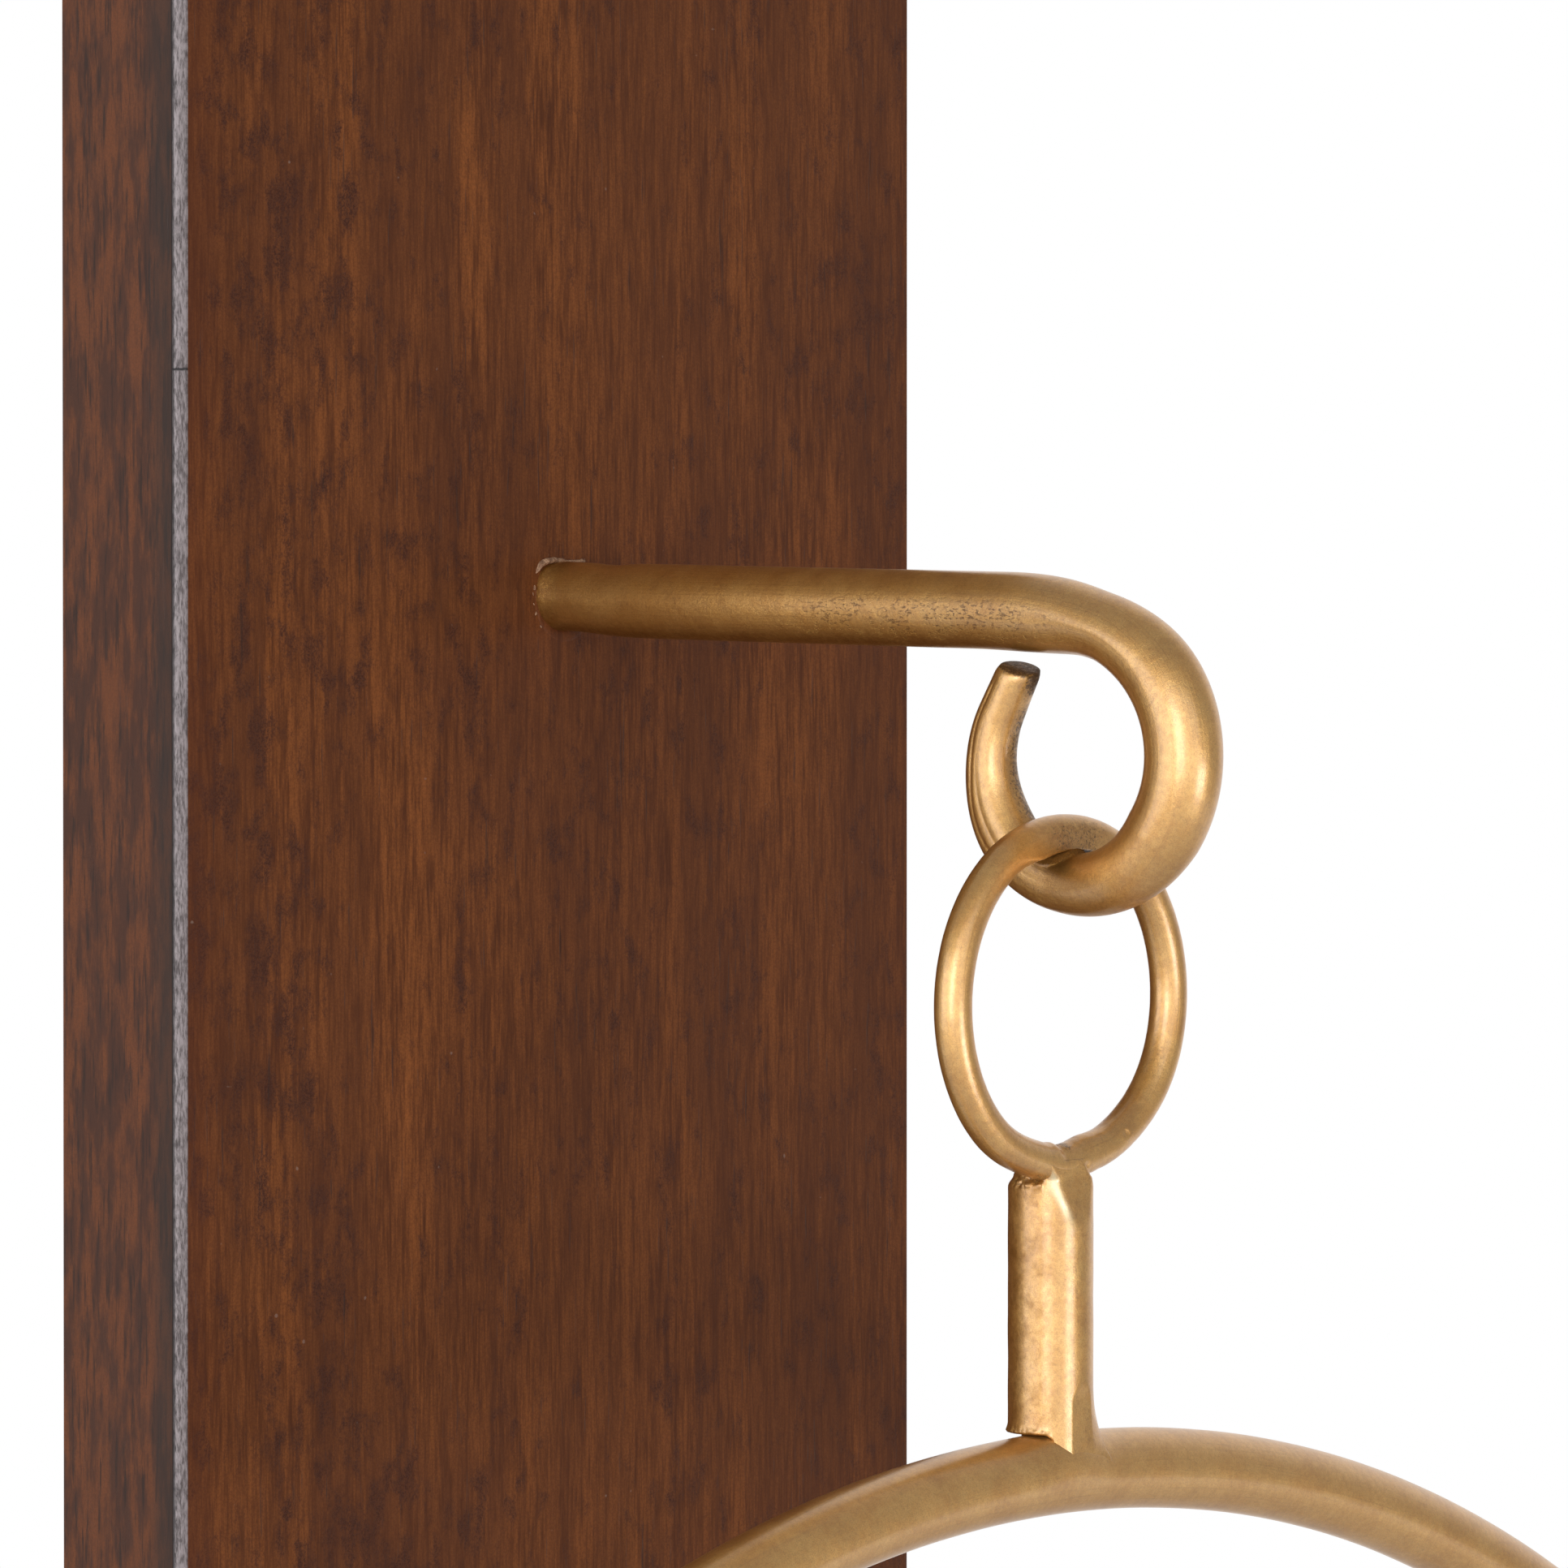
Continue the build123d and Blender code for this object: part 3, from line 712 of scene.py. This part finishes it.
def ringWire():
    s = ringSizes
    bm, centre, radius, half, soot = wireRound(ringLow, ringHigh, s["sides"], s["steps"])
    for vert in bm.verts:
        arm = vert.co - centre
        reach = hypot(arm.x, arm.z)
        outward = Vector((arm.x, 0, arm.z)) / reach
        turn = degrees(atan2(arm.x, -arm.z))
        top = abs(180 - abs(turn))
        depth = (reach - radius) / half
        inner, outer = max(0, -depth), max(0, depth)
        push = -sum(swell(pull, turn) for pull in s["pulls"])
        push -= swell(s["fill"], turn) * inner + swell(s["topWear"], top) * outer
        push += swell(s["notch"], turn) * inner ** 0.5 - swell(s["notchSide"], turn) * inner
        lumps = sum(noise.noise(vert.co * waves) * 0.5 for waves in s["lumpWaves"])
        rough = s["lump"] + swell(s["endLump"], turn) * fade(-arm.y, -half, half)
        rough += swell(s["sideLump"], turn) * fade(-arm.y, 0, half)
        push += lumps * rough
        moved = vert.co + outward * push
        if depth < s["seatDip"] and -s["seatFront"] < arm.y < s["seatRear"]:
            # paint that gathered where the wire sits on the hook
            want = radius - half - s["seatPad"] + arm.y ** 2 / s["seatRise"] + lumps * s["seatLump"]
            if want < reach:
                weight = nearby(s["seat"], top) * ramp(s["seatSoft"], s["seatDip"] - depth)
                moved = moved + outward * (want - reach) * weight
        for pitTurn, pitDepth in s["pits"]:
            away = hypot(radians(turn - pitTurn) * radius, (depth - pitDepth) * half)
            if arm.y < 0 and away < s["pitReach"]:
                moved.y += swell(s["pit"], away) - swell(s["pitRim"], away)
        vert.co = moved
        crown = swell(s["crownSoot"], top) * swell(s["crownDepth"], depth) * ramp(s["crownSide"], -arm.y)
        # the wire darkens where it sits on the hook: grime, and painted shade in the gap
        dark = max(crown, nearby(s["seatSootAndShade"], top) * ramp(s["seatDepth"], -depth))
        for turnSize, side, depthSize in ringSoot:
            dark = max(dark, swell(turnSize, turn) * ramp(depthSize, side * depth))
        vert[soot] = dark
    return finishPiece(bm, "ringWire", barFinish, "hanger", ["hanger_ring"])


# weld metal swells the hoop under the stem: height, middle and width along the bar or in degrees round it
hoopSizes = {
    "sides": 72, "steps": 640, "lumpWaves": 90, "lump": 0.00004,
    "weld": (1, -0.0006, 0.0062), "weldFront": (0.00087, 52, 36), "weldTop": (0.0002, 5, 40),
    "bead": (0.0004, -0.0028, 0.0022), "beadTurn": (1, 33, 14),
    "soak": (0.45, -0.0035, 0.0035), "soakTurn": (1, 12, 26),
}


def hoopBar():
    s = hoopSizes
    bm, centre, radius, half, soot = wireRound(hoopLow, hoopHigh, s["sides"], s["steps"])
    for vert in bm.verts:
        arm = vert.co - centre
        radial = Vector((arm.x, 0, arm.z)).normalized()
        outward = (arm - radial * radius) / half
        push = noise.noise(vert.co * s["lumpWaves"]) * s["lump"]
        if arm.z > 0:
            around = degrees(atan2(-arm.y, hypot(arm.x, arm.z) - radius))  # 0 on top, positive to the room
            weld = swell(s["weld"], arm.x)
            push += weld * (swell(s["weldFront"], around) + swell(s["weldTop"], around))
            push += swell(s["bead"], arm.x) * swell(s["beadTurn"], around)
            vert[soot] = swell(s["soak"], arm.x) * swell(s["soakTurn"], around)
        vert.co += outward * push
    return finishPiece(bm, "hoopBar", smoothFinish, "hanger", ["hoop"])


# the stem is a cut rod: pressed flat where it is welded to the hoop, filled and ground up to the ring;
# turns are degrees round it, 0 to the room and positive to the left
stemSizes = {
    "sides": 180, "steps": 120, "cutGap": 0.00028, "dive": 0.0047, "dip": 0.0005,
    "pressTop": 0.0072, "pressFlat": 0.00030, "flare": 0.0104,
    "ridgeTurn": 19.2, "cornerTurn": 48, "spread": 0.0006,
    "flatStart": 0.0042, "faceLow": 0.0064, "faceDepth": 0.00096, "facing": 5, "ridgeSoft": 0.00020,
    "webRise": 0.0022, "sideRise": 0.00045, "webLeft": -0.0058, "webRight": 0.0016, "webFront": 0.00425,
    "footLeft": (-0.00345, -0.00406), "footRight": (0.00260, -0.00456), "webBow": 0.0001,
    "leftTurns": (41, 62), "rightTurns": (-29, -50), "leftThin": 0.05, "rightThin": 0.14,
    "smoothing": (-6, -3, 0, 3, 6),
    "flareCurve": 2.6, "faceGap": 0.0002, "faceCurve": 1.3, "faceFull": 0.0045, "grind": 1.06,
    "climbStart": 0.0004, "climbFull": 0.3,
    "lumpWaves": (1500, 3200), "fineLumps": 0.6, "dentWaves": 260, "dent": 0.00004,
    "bead": (1, -0.0006, 0.0006), "beadLump": (0.00042, 0.00014), "beadSoot": (0.6, 0.2, -0.4),
    "hem": (1, 0.0003, 0.00045), "hemLump": (0.00022, 0.00012), "hemSoot": (0.5, 0.1, -0.4),
    "leastSoot": 0.12,
    "shoulder": 0.13, "shoulderRun": 0.0016, "shoulderCurve": 1.6,
    "ridge": (20, 24), "ridgeRun": (-0.0062, -0.0002), "bareAndHighlight": (0.9, 1, 6.5),
    "bareHighlightStart": (-0.0075, -0.0030), "bareHighlightEnd": (0.0002, 0.0015),
    "rustShadeWaves": (420, 1500), "fineRustShade": 0.8, "rustAndShade": (0.42, 1.3), "mostRustShade": 0.6,
    "capSink": 0.0012, "capShrink": 0.6, "coreSides": 64, "coreRadius": 0.0036, "coreHeight": 0.005,
    "coreSink": 0.001,
}


# the turns between which each part of the stem's shape comes in and goes out
stemTurns = {
    "diveRight": (-66, -60), "diveLeft": (38, 47), "dipLeft": (46, 58),
    "webRight": (-52, -24), "webLeft": (56, 62), "sideStart": (54, 62), "sideEnd": (120, 145),
    "aimRight": (-62, -50), "aimLeft": (62, 72),
    "beadStart": (56, 66), "beadEnd": (110, 135), "hem": (1, 40, 60), "rustAndShade": (0.42, 30, 62),
}


def around(turn, radius):
    return Vector((-sin(radians(turn)), -cos(radians(turn)))) * radius


def webAim(turn, climb, radius):
    # outline of the filler web where it leans from the stem's face on to the ring's wire
    s = stemSizes
    left = Vector(s["footLeft"]).lerp(Vector((s["webLeft"], -s["webFront"])), climb)
    right = Vector(s["footRight"]).lerp(Vector((s["webRight"], -s["webFront"])), climb)
    leftRadius = radius * (1 - s["leftThin"] * climb)
    rightRadius = radius * (1 - s["rightThin"] * climb)
    (leftTurn, sideTurn), (rightTurn, cornerTurn) = s["leftTurns"], s["rightTurns"]
    if turn > sideTurn:
        return around(turn, leftRadius)
    if turn > leftTurn:
        return left.lerp(around(sideTurn, leftRadius), (turn - leftTurn) / (sideTurn - leftTurn))
    if turn > rightTurn:
        t = (leftTurn - turn) / (leftTurn - rightTurn)
        return left.lerp(right, t) + Vector((0, s["webBow"] * sin(pi * t)))
    if turn > cornerTurn:
        return right.lerp(around(cornerTurn, rightRadius), (rightTurn - turn) / (rightTurn - cornerTurn))
    return around(turn, rightRadius)


def pressAim(turn, radius):
    # outline of the lower end where it is pressed flat towards the room, with a ridge and a corner
    s = stemSizes
    ridgeTurn, cornerTurn = s["ridgeTurn"], s["cornerTurn"]
    if turn > -cornerTurn:
        t = (ridgeTurn - turn) / (ridgeTurn + cornerTurn)
        left = -radius * sin(radians(ridgeTurn))
        return Vector((left + (radius + s["spread"] - left) * t, -radius + s["pressFlat"]))
    t = (-cornerTurn - turn) / (90 - cornerTurn)
    return Vector((radius + s["spread"] * (1 - t), (-radius + s["pressFlat"]) * (1 - t)))


def stem():
    s, turns = stemSizes, stemTurns
    radius = (stemHigh.x - stemLow.x) / 2
    axis = Vector(((stemLow.x + stemHigh.x) / 2, (stemLow.y + stemHigh.y) / 2, 0))
    barTop, top = hoopHigh.z, stemHigh.z
    facing = radians(s["facing"])
    ahead = Vector((-sin(facing), -cos(facing)))
    bm = bmesh.new()
    soot, bareAndHighlight, shade = [bm.verts.layers.float.new(layer) for layer in ("soot", "bareAndHighlight", "shade")]
    circle = bmesh.ops.create_circle(bm, segments=s["sides"], radius=radius, matrix=Matrix.Translation(axis))
    edges = list(bm.edges)
    rounds = [circle["verts"]]
    for step in range(s["steps"]):
        verts, edges = pushRing(bm, edges)
        rounds.append(verts)
    for number, verts in enumerate(rounds):
        share = number / s["steps"]
        for vert in verts:
            arm = vert.co - axis
            turn = degrees(atan2(-arm.x, -arm.y))
            point = Vector((arm.x, arm.y))
            # lower end: square cut over the bar, left side; the room side runs down over it
            dive = span(turn, turns["diveRight"], turns["diveLeft"])
            dip = span(turn, turns["diveRight"], turns["dipLeft"])
            low = barTop + s["cutGap"] - s["dip"] * dip - s["dive"] * dive
            web = span(turn, turns["webRight"], turns["webLeft"])
            rise = s["webRise"] * web + s["sideRise"] * span(turn, turns["sideStart"], turns["sideEnd"])
            z = low + (top + rise - low) * share
            above, over = z - barTop, z - top
            if -90 < turn < s["ridgeTurn"]:
                flare = min(1, max(0, (s["pressTop"] - above) / s["flare"])) ** s["flareCurve"]
                point += (pressAim(turn, radius) - point) * flare
            flat = s["pressFlat"] * (1 - fade(above, s["flatStart"], s["pressTop"]))
            point.y = max(point.y, -radius + flat)
            # upper end: a dished face, then a web of filler that widens up to the ring
            dish = min(1, max(0, (over + s["faceLow"]) / (s["faceLow"] - s["faceGap"])))
            extra = (point.dot(ahead) - radius + s["faceDepth"] * dish ** s["faceCurve"]) / s["ridgeSoft"]
            ground = s["grind"] * fade(over, -s["faceLow"], -s["faceFull"])
            point -= ahead * s["ridgeSoft"] * log(1 + exp(extra)) * ground
            climb = min(1, max(0, (over + s["climbStart"]) / (rise + s["climbStart"])))
            if climb > 0 and turns["aimRight"][0] < turn < turns["aimLeft"][1]:
                aims = [webAim(turn + lean, climb, radius) for lean in s["smoothing"]]
                aim = sum(aims, Vector((0, 0))) / len(aims)
                weight = fade(climb, 0, s["climbFull"]) * span(turn, turns["aimRight"], turns["aimLeft"])
                point += (aim - point) * weight
            # rounded shoulder, ragged bead under the ring and along the square cut
            spot = Vector((arm.x, arm.y, z))
            coarse, fine = [noise.noise(spot * waves) for waves in s["lumpWaves"]]
            lumps = coarse + s["fineLumps"] * fine
            shoulder = (1 - web) * fade(over, -s["shoulderRun"], 0)
            bead = swell(s["bead"], over) * span(turn, turns["beadStart"], turns["beadEnd"])
            hem = swell(s["hem"], z - low) * (1 - dive) * ramp(turns["hem"], turn)
            size = 1 - s["shoulder"] * shoulder ** s["shoulderCurve"]
            for (bump, rest), part in ((s["beadLump"], bead), (s["hemLump"], hem)):
                size += (lumps * bump + rest) * part / radius
            size += noise.noise(spot * s["dentWaves"]) * s["dent"] / radius
            vert.co = axis + Vector((point.x * size, point.y * size, z))
            # bare metal along the ground ridge, also painted light to stand in for its highlight; rust down
            # the left side, with painted shade there too; soot in the beads
            ridgeTurn = s["ridge"][0] + s["ridge"][1] * fade(over, *s["ridgeRun"])
            vert[bareAndHighlight] = swell(s["bareAndHighlight"], turn - ridgeTurn) * span(over, s["bareHighlightStart"], s["bareHighlightEnd"])
            # rust mottling with painted shade, darker towards the stem's left side
            broad, narrow = [noise.noise(spot * waves) for waves in s["rustShadeWaves"]]
            rustyShade = s["rustAndShade"][0] + s["rustAndShade"][1] * (broad + s["fineRustShade"] * narrow)
            vert[shade] = min(s["mostRustShade"], max(0, ramp(turns["rustAndShade"], turn) * rustyShade))
            dark = max(bead * ramp(s["beadSoot"], lumps), hem * ramp(s["hemSoot"], lumps))
            vert[soot] = max(s["leastSoot"], dark)
    for verts, sink in ((rounds[0], s["capSink"]), (rounds[-1], -s["capSink"])):
        rim = [e for v in verts for e in v.link_edges if e.is_boundary]
        inner, rimEdges = pushRing(bm, list(set(rim)))
        for vert in inner:
            lift = vert.co.z * (1 - s["capShrink"]) + sink
            vert.co = axis + (vert.co - axis) * s["capShrink"] + Vector((0, 0, lift))
        bmesh.ops.holes_fill(bm, edges=rimEdges, sides=0)
    # weld core between the square cut and the bar
    place = Matrix.Translation(axis + Vector((0, 0, barTop - s["coreSink"])))
    bmesh.ops.create_cone(bm, cap_ends=True, segments=s["coreSides"], radius1=s["coreRadius"],
                          radius2=s["coreRadius"], depth=s["coreHeight"], matrix=place)
    return finishPiece(bm, "stemRod", goldFinish, "hanger",
                       ["hanger_stem", "ring_weld", "hoop_weld"])


ringWire()
hoopBar()
stem()

# the rear pieces keep their own shapes and only get a finish
plainFinishes = {
    "backboard": woodFinish, "hook_back_plate": zincFinish, "back_plate_weld": zincFinish,
    "back_plate_screws": screwFinish, "keyhole_screws": screwFinish,
    "keyhole_plate_left": zincFinish, "keyhole_plate_right": zincFinish,
    **{f"wall_bumper_{number}": rubberFinish for number in (1, 2, 3, 4)},
}
for node, material in plainFinishes.items():
    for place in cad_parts[node].material_slots:
        place.material = material
print("pieces made")

cameraSizes = {"offset": (-0.7477, -0.70148, 0.00571), "turn": -48.43, "tip": 89.3125, "lens": 180.0,
               "sensor": 36.0, "rise": -0.0859, "nearest": 0.01}
camera = addObject("camera", bpy.data.cameras.new("camera"))
camera.location = rodRoot + Vector(cameraSizes["offset"])
camera.rotation_euler = (radians(cameraSizes["tip"]), 0, radians(cameraSizes["turn"]))
camera.data.lens = cameraSizes["lens"]
camera.data.sensor_width = cameraSizes["sensor"]
camera.data.shift_y = cameraSizes["rise"]
camera.data.clip_start = cameraSizes["nearest"]
bpy.context.scene.camera = camera

stageSizes = {
    "floorDrop": 0.10, "floorRadius": 1.7, "floorSides": 96, "glow": (0.9, 1.68, 0.4, 1.0),
    "ambient": 0.22, "roomShine": 0.34, "roomFade": (0.25, 0.75), "target": (0, -0.09, -0.11),
}
viewTurn = radians(270 + cameraSizes["turn"])  # where the camera stands, as seen from the object


def paleFloor():
    # a pale floor that goes over to white towards its rim
    bm = bmesh.new()
    disc = Matrix.Translation((0, 0, cadBox[0][2] - stageSizes["floorDrop"]))
    bmesh.ops.create_circle(bm, cap_ends=True, segments=stageSizes["floorSides"],
                            radius=stageSizes["floorRadius"], matrix=disc)
    mesh = bpy.data.meshes.new("floor")
    bm.to_mesh(mesh)
    bm.free()
    floor = addObject("floor", mesh)
    paper = Finish("paleFloor", Roughness=0.9, Specular_IOR_Level=0.1, Base_Color=(0.56, 0.56, 0.56, 1))
    reach = paper.node("VectorMath", {"operation": "LENGTH"}, {0: paper.place}, "Value")
    seen = paper.node("LightPath", {}, {}, "Is Camera Ray")
    for ray in ("Is Glossy Ray", "Is Transmission Ray"):
        seen = paper.maths("MAXIMUM", seen, paper.node("LightPath", {}, {}, ray))
    white = paper.node("Emission", {}, {})
    plain = Wire(paper, paper.shader.outputs[0])
    whiteness = seen * paper.between(reach, *stageSizes["glow"])
    mix = paper.node("MixShader", {}, {0: whiteness, 1: plain, 2: white})
    paper.tree.links.new(mix.socket, paper.tree.nodes["Material Output"].inputs["Surface"])
    mesh.materials.append(paper.material)


def whiteRoom():
    # white to the camera; metal mirrors white from behind the object and a darker room from elsewhere
    world = bpy.data.worlds.new("studio")
    bpy.context.scene.world = world
    world.use_nodes = True
    nodes, links = world.node_tree.nodes, world.node_tree.links
    background = nodes["Background"]
    background.inputs["Color"].default_value = (1, 1, 1, 1)
    path = nodes.new("ShaderNodeLightPath")
    sky = nodes.new("ShaderNodeTexCoord")
    behind = nodes.new("ShaderNodeVectorMath")
    behind.operation = "DOT_PRODUCT"
    behind.inputs[1].default_value = (-cos(viewTurn), -sin(viewTurn), 0)
    links.new(sky.outputs["Generated"], behind.inputs[0])
    room = nodes.new("ShaderNodeMapRange")
    room.interpolation_type = "SMOOTHSTEP"
    room.inputs["From Min"].default_value, room.inputs["From Max"].default_value = stageSizes["roomFade"]
    room.inputs["To Min"].default_value = stageSizes["roomShine"]
    room.inputs["To Max"].default_value = 1.0
    links.new(behind.outputs["Value"], room.inputs["Value"])

    def pick(ray, first, second):
        mixing = nodes.new("ShaderNodeMix")
        links.new(path.outputs[ray], mixing.inputs[0])
        for socket, value in ((mixing.inputs[2], first), (mixing.inputs[3], second)):
            if isinstance(value, float):
                socket.default_value = value
            else:
                links.new(value, socket)
        return mixing.outputs[0]

    level = pick("Is Glossy Ray", stageSizes["ambient"], room.outputs[0])
    level = pick("Is Camera Ray", level, 1.0)
    level = pick("Is Transmission Ray", level, 1.0)
    links.new(level, background.inputs["Strength"])


def softBox(name, turn, height, distance, width, tall, radiance):
    # turn is measured from the camera's side, positive to its right
    direction = viewTurn + radians(turn)
    target = Vector(stageSizes["target"])
    lamp = bpy.data.lights.new(name, "AREA")
    lamp.shape = "RECTANGLE"
    lamp.size = width
    lamp.size_y = tall
    lamp.energy = radiance * pi * width * tall
    box = addObject(name, lamp)
    box.location = target + Vector((cos(direction) * distance, sin(direction) * distance, height))
    box.rotation_euler = (target - box.location).to_track_quat("-Z", "Y").to_euler()


paleFloor()
whiteRoom()
# turn, height, distance, width, tall, radiance
lamps = {
    "wideBox": (10, 0.25, 1.6, 2.4, 1.6, 1.15),
    "frontBox": (-12, 0.16, 1.5, 0.64, 0.75, 3.8),
    "keyBox": (53, -0.38, 1.5, 0.6, 0.44, 6.5),
    "leftBox": (-54, 0.10, 1.5, 1.3, 1.0, 2.0),
}
for name, settings in lamps.items():
    softBox(name, *settings)
bpy.context.scene.view_settings.view_transform = "Standard"
print("studio set")
